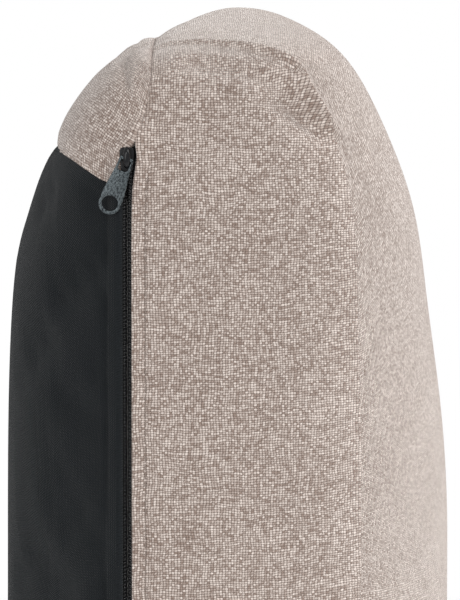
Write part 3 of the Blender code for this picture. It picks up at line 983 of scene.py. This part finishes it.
def crown_piece():
    """The crown: a long dome with a hole through it for the pull tab's bar."""
    around, up = 40, 14
    turns = np.linspace(0, 2 * math.pi, around, endpoint=False)[:, None]
    tilts = np.linspace(0, math.pi / 2, up)[None, :]
    half_u, half_v, tall = 1.58 * MM, 3.8 * MM, 2.8 * MM
    u = half_u * np.cos(turns) * np.cos(tilts) ** 0.75
    v = SLIDER_Z + 0.75 * MM + half_v * np.sin(turns) * np.cos(tilts) ** 0.75
    w = 1.0 * MM + tall * np.sin(tilts) ** 0.9 + 0 * turns
    points = zip_place(u, v, w).reshape(-1, 3)
    faces = grid_faces(around, up, True, False)
    faces.append(tuple(column * up for column in range(around)))
    crown = mesh_object("crown", points, faces)
    outward(crown)
    bpy.ops.mesh.primitive_cylinder_add(
        vertices=32, radius=0.98 * MM, depth=8 * MM,
        location=Vector(flip["pos_m"]), rotation=Vector(flip["axis"]).to_track_quat("Z", "Y").to_euler(),
    )
    cutter = bpy.context.object
    cut = crown.modifiers.new("hole", "BOOLEAN")
    cut.operation = "DIFFERENCE"
    cut.solver = "EXACT"
    cut.object = cutter
    apply_modifiers(crown)
    bpy.data.objects.remove(cutter)
    return crown


def pull_tab():
    """A flat tab with a slot at its bar end and a round hole at its free end."""
    axis = Vector(flip["axis"]).normalized()
    down = axis.cross(Vector((-1, 0, 0)))
    if down.z > 0:
        down = -down
    outward_axis = axis.cross(down)
    pivot = Vector(flip["pos_m"])
    place = Matrix.Translation(pivot) @ Matrix((
        (axis.x, down.x, outward_axis.x, 0), (axis.y, down.y, outward_axis.y, 0),
        (axis.z, down.z, outward_axis.z, 0), (0, 0, 0, 1)))
    neck, ring = 2.5 * MM, 3.9 * MM
    ring_middle = 16.1 * MM
    left = []
    for step in range(0, 25):
        share = step / 24
        width = neck + (ring - neck) * (3 * share ** 2 - 2 * share ** 3)
        left.append((width, 0.3 * MM + share * (ring_middle - 1.6 * MM)))
    turns = np.linspace(-0.30, math.pi + 0.30, 36)
    arc = [(ring * math.cos(t), ring_middle + ring * math.sin(t)) for t in turns]
    side = [point for point in left if point[1] < arc[0][1] - 0.2 * MM]
    top = [(neck - 0.5 * MM, -0.65 * MM), (neck - 0.1 * MM, -0.35 * MM)]
    outline = top + side + arc
    outline += [(-a, b) for a, b in side[::-1]] + [(-a, b) for a, b in top[::-1]]
    slot_half, slot_low, slot_high = 1.75 * MM, 0.5 * MM, 4.2 * MM
    cut = 0.6 * MM
    corners = [(-slot_half, slot_low), (slot_half, slot_low), (slot_half, slot_high - cut),
               (slot_half - cut, slot_high), (-slot_half + cut, slot_high), (-slot_half, slot_high - cut)]
    hole = oval(2.75 * MM, 2.6 * MM, ring_middle, 48)
    outlines = [outline, corners[::-1], hole[::-1]]
    return flat_plate("zip_pull_tab", outlines, -0.45 * MM, 0.45 * MM, 0.3 * MM, place)


# ------------------------------------------------------------------ stitching

def stitch_line(name, line, length, gap, radius, side_x):
    """Separate stitches laid on the cloth along a line of points."""
    line = resample(line, np.linspace(0, 1, 400))
    total = arc_lengths(line)
    lines = []
    place = length
    while place + length < total[-1]:
        shares = (place + np.linspace(0, length, 6)) / total[-1]
        run = resample(line, shares)
        bow = np.sin(np.linspace(0, math.pi, 6)) * 0.30 * MM + 0.02 * MM
        run[:, 0] += side_x * bow
        lines.append(run)
        place += length + gap
    return merged_tubes(name, lines, radius, 6)


# ------------------------------------------------------------------ stage

def make_camera():
    """Level with the cushion's top, 1.35 m from its zip end, looking slightly down."""
    distance, pitch = 1.35, math.radians(3.9422)
    data = bpy.data.cameras.new("camera")
    data.lens = 236.82
    data.sensor_width = 36
    camera = bpy.data.objects.new("camera", data)
    bpy.context.scene.collection.objects.link(camera)
    camera.location = (-HALF_WIDTH - distance, 0, front_high.z - 7.2 * MM)
    camera.rotation_euler = (math.pi / 2 - pitch, 0, -math.pi / 2)
    bpy.context.scene.camera = camera


def soft_light(name, place, target, size, power, colour=(1, 1, 1)):
    data = bpy.data.lights.new(name, "AREA")
    data.shape = "DISK"
    data.size = size
    data.energy = power
    data.color = colour
    light = bpy.data.objects.new(name, data)
    bpy.context.scene.collection.objects.link(light)
    light.location = place
    light.rotation_euler = (Vector(target) - Vector(place)).to_track_quat("-Z", "Y").to_euler()


def make_stage():
    bpy.ops.mesh.primitive_circle_add(vertices=128, radius=0.70, fill_type="NGON")
    floor = bpy.context.object
    floor.name = "floor"
    floor.data.materials.append(simple_material("floor_paint", (0.86, 0.86, 0.85), 0.7))

    world = bpy.data.worlds.new("studio")
    bpy.context.scene.world = world
    world.use_nodes = True
    nodes, links = world.node_tree.nodes, world.node_tree.links
    seen = nodes["Background"]
    seen.inputs["Color"].default_value = (1, 1, 1, 1)
    seen.inputs["Strength"].default_value = 1.0
    glow = nodes.new("ShaderNodeBackground")
    glow.inputs["Color"].default_value = (1, 1, 1, 1)
    glow.inputs["Strength"].default_value = 0.55
    ray = nodes.new("ShaderNodeLightPath")
    choose = nodes.new("ShaderNodeMixShader")
    links.new(ray.outputs["Is Camera Ray"], choose.inputs["Fac"])
    links.new(glow.outputs["Background"], choose.inputs[1])
    links.new(seen.outputs["Background"], choose.inputs[2])
    links.new(choose.outputs["Shader"], nodes["World Output"].inputs["Surface"])

    soft_light("key", (-0.6, -1.5, 1.5), (0, 0, 0.2), 0.9, 13)
    soft_light("fill", (-1.7, 0.9, 0.6), (0, 0, 0.2), 1.2, 9)
    soft_light("spark", (-2.1, 0.10, 1.25), (-0.19, 0.035, 0.25), 0.22, 3.8)
    soft_light("rim", (1.0, -1.5, 1.2), (0, 0, 0.25), 0.9, 36)
    bpy.context.scene.view_settings.view_transform = "Standard"


# ------------------------------------------------------------------ materials

def simple_material(name, colour, roughness, metallic=0.0):
    material = bpy.data.materials.new(name)
    material.use_nodes = True
    shader = material.node_tree.nodes["Principled BSDF"]
    shader.inputs["Base Color"].default_value = (*colour, 1)
    shader.inputs["Roughness"].default_value = roughness
    shader.inputs["Metallic"].default_value = metallic
    return material


class Graph:
    """A material's node tree, with short ways to add maths, noise and bumps."""

    def __init__(self, name):
        self.material = bpy.data.materials.new(name)
        self.material.use_nodes = True
        self.tree = self.material.node_tree
        self.shader = self.tree.nodes["Principled BSDF"]

    def node(self, kind, inputs=None, **settings):
        node = self.tree.nodes.new(kind)
        for key, value in settings.items():
            setattr(node, key, value)
        for key, value in (inputs or {}).items():
            self.feed(node.inputs[key], value)
        return node

    def feed(self, socket, value):
        if isinstance(value, bpy.types.NodeSocket):
            self.tree.links.new(value, socket)
        else:
            socket.default_value = value

    def maths(self, operation, first, second=0.0, third=0.0):
        node = self.node("ShaderNodeMath", {0: first, 1: second, 2: third}, operation=operation)
        return node.outputs[0]

    def add(self, first, second):
        return self.maths("ADD", first, second)

    def times(self, first, second):
        return self.maths("MULTIPLY", first, second)

    def position(self):
        return self.node("ShaderNodeNewGeometry").outputs["Position"]

    def set(self, name, value):
        """Gives an input of the shader a value or a link."""
        self.feed(self.shader.inputs[name], value)

    def paint(self, share, dark, light):
        self.set("Base Color", self.mix(share, (*dark, 1), (*light, 1)))

    def vector(self, x, y, z=0.0):
        return self.node("ShaderNodeCombineXYZ", {0: x, 1: y, 2: z}).outputs[0]

    def noise(self, vector, scale, detail=2.0, roughness=0.5):
        node = self.node(
            "ShaderNodeTexNoise",
            {"Vector": vector, "Scale": scale, "Detail": detail, "Roughness": roughness},
        )
        return node.outputs["Fac"]

    def remap(self, value, low, high, new_low, new_high):
        node = self.node(
            "ShaderNodeMapRange",
            {"Value": value, "From Min": low, "From Max": high, "To Min": new_low, "To Max": new_high},
        )
        return node.outputs["Result"]

    def mix(self, share, first, second):
        node = self.node("ShaderNodeMix", data_type="RGBA")
        self.feed(node.inputs[0], share)
        self.feed(node.inputs[6], first)
        self.feed(node.inputs[7], second)
        return node.outputs[2]

    def choose(self, share, first, second):
        """A number between two others."""
        return self.add(self.times(self.maths("SUBTRACT", second, first), share), first)

    def bump(self, height, distance, strength=1.0):
        node = self.node("ShaderNodeBump", {"Height": height, "Distance": distance, "Strength": strength})
        self.feed(self.shader.inputs["Normal"], node.outputs["Normal"])


def beige_weave():
    """Melange linen look: plain weave of thick uneven threads, each with its own tone, with painted shade
    darkening the hollows between them.
    """
    graph = Graph("beige_linen_weave")
    place = graph.node("ShaderNodeUVMap", uv_map="UVMap").outputs[0]
    split = graph.node("ShaderNodeSeparateXYZ", {0: place})
    across, up = split.outputs[0], split.outputs[1]
    for scale, amount in ((70.0, 0.0022), (420.0, 0.00055)):
        wander = graph.noise(place, scale, 1.0)
        elsewhere = graph.node("ShaderNodeVectorMath", {0: place, 1: (3.1, 7.7, 0.0)}).outputs[0]
        stray = graph.noise(elsewhere, scale, 1.0)
        across = graph.add(across, graph.times(graph.maths("SUBTRACT", wander, 0.5), amount))
        up = graph.add(up, graph.times(graph.maths("SUBTRACT", stray, 0.5), amount))
    warp = graph.maths("DIVIDE", across, 0.00098)
    weft = graph.maths("DIVIDE", up, 0.00082)
    warp_index, weft_index = graph.maths("FLOOR", warp), graph.maths("FLOOR", weft)
    warp_share, weft_share = graph.maths("FRACT", warp), graph.maths("FRACT", weft)
    turn = graph.maths("FLOORED_MODULO", graph.add(warp_index, weft_index), 2.0)

    def hump(share):
        return graph.maths("SINE", graph.times(share, math.pi))

    warp_hump, weft_hump = hump(warp_share), hump(weft_share)
    warp_height = graph.times(graph.maths("POWER", warp_hump, 0.6), graph.remap(weft_hump, 0, 1, 0.45, 1))
    weft_height = graph.times(graph.maths("POWER", weft_hump, 0.6), graph.remap(warp_hump, 0, 1, 0.45, 1))
    along_warp = graph.vector(graph.times(warp_index, 7.3), graph.times(up, 330.0))
    warp_tone = graph.noise(along_warp, 1.0, 1.0)
    along_weft = graph.vector(graph.times(across, 300.0), graph.times(weft_index, 7.3), 9.0)
    weft_tone = graph.noise(along_weft, 1.0, 1.0)
    height = graph.choose(turn, weft_height, warp_height)
    tone = graph.choose(turn, weft_tone, warp_tone)
    indices = graph.vector(warp_index, weft_index)
    crossing = graph.node("ShaderNodeTexWhiteNoise", {"Vector": indices}, noise_dimensions="2D")
    tone = graph.remap(tone, 0.30, 0.70, 0.1, 0.9)
    tone = graph.add(tone, graph.remap(crossing.outputs["Value"], 0, 1, -0.40, 0.40))
    twist = graph.vector(
        graph.times(graph.add(across, up), 550.0),
        graph.times(graph.maths("SUBTRACT", across, up), 1900.0),
    )
    fibre = graph.noise(twist, 1.0, 2.0)
    patch = graph.noise(place, 28.0, 2.0)
    tone = graph.add(tone, graph.remap(fibre, 0.3, 0.7, -0.34, 0.34))
    tone = graph.add(tone, graph.remap(patch, 0.3, 0.7, -0.08, 0.08))
    thread = graph.mix(tone, (0.345, 0.26, 0.22, 1), (0.86, 0.755, 0.69, 1))
    # painted shade: the colour darkens to a dark brown in the low hollows between the threads, following
    # the weave's height
    shade = graph.remap(height, 0.15, 0.75, 0.0, 1.0)
    colour = graph.mix(shade, (0.16, 0.112, 0.09, 1), thread)
    graph.set("Base Color", colour)
    graph.set("Roughness", graph.remap(fibre, 0, 1, 0.8, 0.95))
    graph.set("Sheen Weight", 0.75)
    graph.set("Sheen Roughness", 0.35)
    graph.set("Sheen Tint", (1.0, 0.96, 0.93, 1))
    graph.set("Specular IOR Level", 0.2)
    relief = graph.add(height, graph.times(fibre, 0.6))
    graph.bump(relief, 0.00028, 0.9)
    return graph.material


def black_knit():
    """Black cloth with fine ribs across it; its colour has painted shade in the grooves between the ribs
    and random fibre tone.
    """
    graph = Graph("black_ribbed_knit")
    place = graph.node("ShaderNodeUVMap", uv_map="UVMap").outputs[0]
    split = graph.node("ShaderNodeSeparateXYZ", {0: place})
    across, up = split.outputs[0], split.outputs[1]
    wander = graph.noise(place, 60.0, 1.0)
    up = graph.add(up, graph.times(wander, 0.0012))
    ribs = graph.maths("SINE", graph.times(up, 2 * math.pi / 0.00085))
    loops = graph.maths("SINE", graph.times(across, 2 * math.pi / 0.0007))
    height = graph.add(graph.times(ribs, 0.6), graph.times(loops, 0.3))
    fibre = graph.noise(place, 2400.0, 2.0)
    # painted shade: the colour is darker in the grooves between ribs and loops and lighter on their
    # crests, with random fibre tone on top
    tone = graph.add(graph.remap(height, -0.9, 0.9, 0.25, 0.75), graph.remap(fibre, 0.3, 0.7, -0.25, 0.25))
    graph.paint(tone, (0.0028, 0.0042, 0.0052), (0.0165, 0.0205, 0.0240))
    graph.set("Roughness", 0.85)
    graph.set("Sheen Weight", 0.07)
    graph.set("Sheen Roughness", 0.4)
    graph.set("Specular IOR Level", 0.25)
    graph.bump(graph.add(height, fibre), 0.00026, 0.9)
    return graph.material


def tape_weave():
    """Black herringbone-like tape, with painted shade darkening the low parts of its weave."""
    graph = Graph("black_tape_weave")
    place = graph.position()
    split = graph.node("ShaderNodeSeparateXYZ", {0: place})
    across = graph.times(split.outputs[1], 2 * math.pi / 0.0009)
    up = graph.times(split.outputs[2], 2 * math.pi / 0.0007)
    height = graph.add(graph.maths("SINE", graph.add(across, up)), graph.maths("SINE", up))
    # painted shade: the colour follows the weave's height, darker in its low parts
    tone = graph.remap(height, -2, 2, 0, 1)
    graph.paint(tone, (0.006, 0.006, 0.007), (0.020, 0.021, 0.024))
    graph.set("Roughness", 0.8)
    graph.bump(height, 0.0001, 0.7)
    return graph.material


def coil_nylon():
    """Glossy black nylon."""
    graph = Graph("black_nylon")
    place = graph.position()
    smudge = graph.noise(place, 900.0, 2.0)
    graph.paint(smudge, (0.010, 0.010, 0.011), (0.022, 0.022, 0.024))
    graph.set("Roughness", graph.remap(smudge, 0.3, 0.7, 0.16, 0.26))
    graph.set("Specular IOR Level", 0.6)
    return graph.material


def painted_metal():
    """Black enamel on the slider, slightly orange-peeled."""
    graph = Graph("black_enamel")
    place = graph.position()
    peel = graph.noise(place, 1400.0, 2.0)
    graph.paint(peel, (0.006, 0.006, 0.007), (0.012, 0.012, 0.014))
    graph.set("Roughness", graph.remap(peel, 0.3, 0.7, 0.14, 0.24))
    graph.set("Specular IOR Level", 0.3)
    graph.bump(peel, 0.00002, 0.4)
    return graph.material


def gunmetal():
    """Dark brushed metal, streaked along the tab, with tumbled specks."""
    graph = Graph("brushed_gunmetal")
    place = graph.position()
    split = graph.node("ShaderNodeSeparateXYZ", {0: place})
    tilt = math.atan2(abs(flip["axis"][2]), abs(flip["axis"][1]))
    y, z = split.outputs[1], split.outputs[2]
    along = graph.add(graph.times(y, -math.sin(tilt)), graph.times(z, math.cos(tilt)))
    across = graph.add(graph.times(y, math.cos(tilt)), graph.times(z, math.sin(tilt)))
    stretched = graph.vector(graph.times(across, 5200.0), graph.times(along, 700.0))
    streaks = graph.noise(stretched, 1.0, 3.0)
    specks = graph.noise(place, 1500.0, 3.0, 0.7)
    mottle = graph.add(graph.times(streaks, 0.5), graph.times(specks, 0.5))
    tone = graph.remap(mottle, 0.42, 0.58, 0.0, 1.0)
    graph.paint(tone, (0.018, 0.023, 0.027), (0.155, 0.180, 0.190))
    graph.set("Roughness", graph.remap(mottle, 0.38, 0.62, 0.26, 0.50))
    graph.set("Metallic", 0.85)
    graph.bump(mottle, 0.00012, 0.9)
    return graph.material


def liner_cloth():
    """Plain white non-woven liner."""
    graph = Graph("white_liner_cloth")
    place = graph.position()
    fibres = graph.noise(place, 700.0, 4.0, 0.7)
    graph.paint(fibres, (0.62, 0.61, 0.58), (0.80, 0.79, 0.76))
    graph.set("Roughness", 0.9)
    graph.bump(fibres, 0.0002, 0.5)
    return graph.material


def foam_cells():
    """Cream open-cell foam, with painted shade darkening the hollow of each cell."""
    graph = Graph("cream_foam")
    place = graph.position()
    cells = graph.node("ShaderNodeTexVoronoi", {"Vector": place, "Scale": 900.0}).outputs["Distance"]
    # painted shade: the colour is darker in the hollow middle of each cell and lighter at its walls
    graph.paint(cells, (0.50, 0.43, 0.28), (0.80, 0.72, 0.52))
    graph.set("Roughness", 0.95)
    graph.bump(cells, 0.0004, 0.6)
    return graph.material


def thread_material(name, dark, light):
    graph = Graph(name)
    place = graph.position()
    twist = graph.noise(place, 3000.0, 2.0)
    graph.paint(twist, dark, light)
    graph.set("Roughness", 0.7)
    return graph.material


# ------------------------------------------------------------------ build

def declare(piece, body, material, slot, *nodes):
    """Paints a piece, puts it on its body and hides the CAD nodes that it stands for."""
    piece.data.materials.clear()
    piece.data.materials.append(material)
    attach(piece, body)
    if nodes:
        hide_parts(*nodes)


make_camera()
make_stage()
beige, black = beige_weave(), black_knit()
cover = front_cover()
panel, yoke = back_pieces()
liner, foam = filling("liner_bag", 5.6 * MM), filling("foam_block", 6.8 * MM)
thicken(liner, 0.8 * MM)
declare(cover, "cushion", beige, "beige_cloth", "front_cover")
declare(panel, "cushion", black, "black_cloth", "back_panel")
declare(yoke, "cushion", beige, "beige_cloth", "back_yoke")
declare(liner, "cushion", liner_cloth(), "liner_cloth", "inner_liner")
declare(foam, "cushion", foam_cells(), "foam", "foam_core")

tape_paint, nylon, enamel, metal = tape_weave(), coil_nylon(), painted_metal(), gunmetal()
coil_low, coil_high = bottom_high.z - 0.2 * MM, stop_low.z
for side, label in ((-1, "side"), (1, "back")):
    piece = tape(f"zip_tape_{label}", side, tape_low.z, tape_high.z)
    declare(piece, "cushion", tape_paint, "zip_tape", f"zipper_tape_{label}")
    piece = coil(f"zip_coil_{label}", side, coil_low, coil_high)
    declare(piece, "cushion", nylon, "zip_coil", f"zipper_coil_{label}")
    piece = chain_stitches(f"zip_thread_{label}", side, coil_low, coil_high)
    declare(piece, "cushion", nylon, "zip_coil")
    piece = stop_piece(f"zip_top_stop_{label}", side, stop_low.z, stop_high.z)
    declare(piece, "cushion", enamel, "slider_metal", f"top_stop_{label}")
piece = stop_piece("zip_bottom_stop", 0, bottom_low.z, bottom_high.z)
declare(piece, "cushion", enamel, "slider_metal", "bottom_stop")
thread = thread_material("beige_thread", (0.16, 0.12, 0.10), (0.40, 0.33, 0.29))
dark_thread = thread_material("black_thread", (0.008, 0.009, 0.010), (0.03, 0.033, 0.036))
for label, twine, slot in (("front", thread, "beige_cloth"), ("back", dark_thread, "black_cloth")):
    piece = stitch_line(f"stitches_{label}", stitch_paths[label], 2.3 * MM, 0.7 * MM, 0.20 * MM, -1)
    declare(piece, "cushion", twine, slot)
declare(slider(), "slider", enamel, "slider_metal", "slider_body")
declare(pull_tab(), "puller", metal, "tab_metal", "pull_tab")
